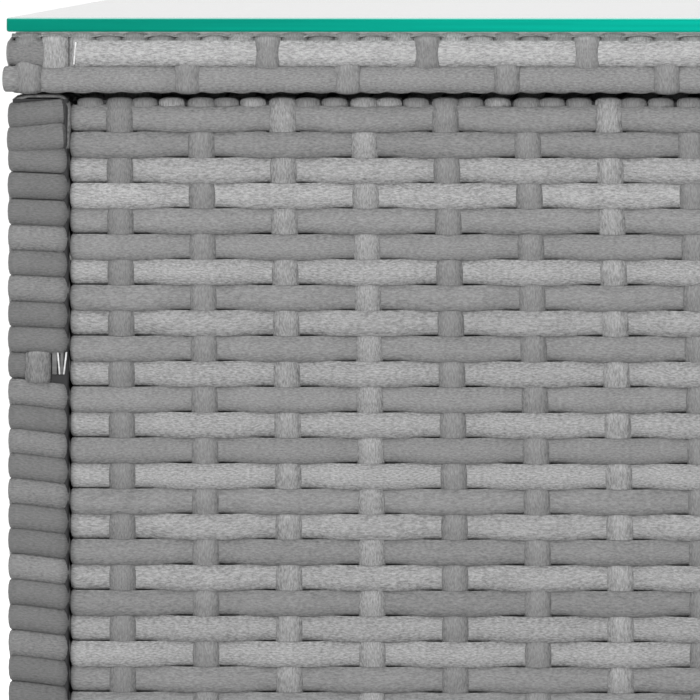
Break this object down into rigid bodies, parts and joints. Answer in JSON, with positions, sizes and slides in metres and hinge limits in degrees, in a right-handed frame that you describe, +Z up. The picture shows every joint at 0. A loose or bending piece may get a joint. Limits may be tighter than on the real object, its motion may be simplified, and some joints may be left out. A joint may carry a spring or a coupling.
{
  "type": "coffee table",
  "caption": "Low square garden coffee table: flat wicker wound and woven over a bolted square-tube frame, woven side panels, and a loose clear glass plate resting on the top.",
  "frame": {"origin": "on the floor, midway between the four feet, under the table's centre", "axes": "+Z up, the front faces -Y, left is -X"},
  "size_m": [0.6002, 0.6002, 0.36],
  "materials": {
    "glass": "clear tempered float glass, polished edges with a green cast",
    "pad_clear": "clear self-adhesive soft plastic",
    "wicker": "flat extruded grey strand with a fine fibrous grain",
    "frame_metal": "black powder coat, satin",
    "black_plastic": "moulded black plastic",
    "zinc_steel": "zinc plated"
  },
  "bodies": {
    "table": {"top_tube_front": "frame_metal", "top_tube_rear": "frame_metal", "top_tube_left": "frame_metal", "top_tube_right": "frame_metal", "top_crossbar_front": "frame_metal", "top_crossbar_rear": "frame_metal", "left_front_post": "frame_metal", "left_rear_post": "frame_metal", "left_top_rail": "frame_metal", "left_bottom_rail": "frame_metal", "right_front_post": "frame_metal", "right_rear_post": "frame_metal", "right_top_rail": "frame_metal", "right_bottom_rail": "frame_metal", "front_left_upright": "frame_metal", "front_right_upright": "frame_metal", "front_top_rail": "frame_metal", "front_bottom_rail": "frame_metal", "rear_left_upright": "frame_metal", "rear_right_upright": "frame_metal", "rear_top_rail": "frame_metal", "rear_bottom_rail": "frame_metal", "top_field_weave": "wicker", "rim_wicker_front": "wicker", "rim_wicker_rear": "wicker", "rim_wicker_left": "wicker", "rim_wicker_right": "wicker", "left_panel_weave": "wicker", "left_rail_wraps": "wicker", "left_front_post_wrap": "wicker", "left_rear_post_wrap": "wicker", "right_panel_weave": "wicker", "right_rail_wraps": "wicker", "right_front_post_wrap": "wicker", "right_rear_post_wrap": "wicker", "front_panel_weave": "wicker", "front_rail_wraps": "wicker", "front_upright_wraps": "wicker", "rear_panel_weave": "wicker", "rear_rail_wraps": "wicker", "rear_upright_wraps": "wicker", "post_cap_strands": "wicker", "post_plugs": "black_plastic", "top_spacers": "black_plastic", "foot_front_left": "black_plastic", "foot_front_right": "black_plastic", "foot_rear_left": "black_plastic", "foot_rear_right": "black_plastic", "frame_bolts": "zinc_steel", "frame_bolt_washers": "zinc_steel", "frame_rivet_nuts": "zinc_steel", "top_bolts": "zinc_steel", "top_bolt_washers": "zinc_steel", "top_rivet_nuts": "zinc_steel"},
    "glass_plate": {"glass_top": "glass", "glass_pads": "pad_clear"}
  },
  "joints": [
    {"name": "glass_lift", "type": "slide", "parent": "table", "child": "glass_plate", "axis": [0, 0, 1], "range_m": [0, 0.15]}
  ]
}
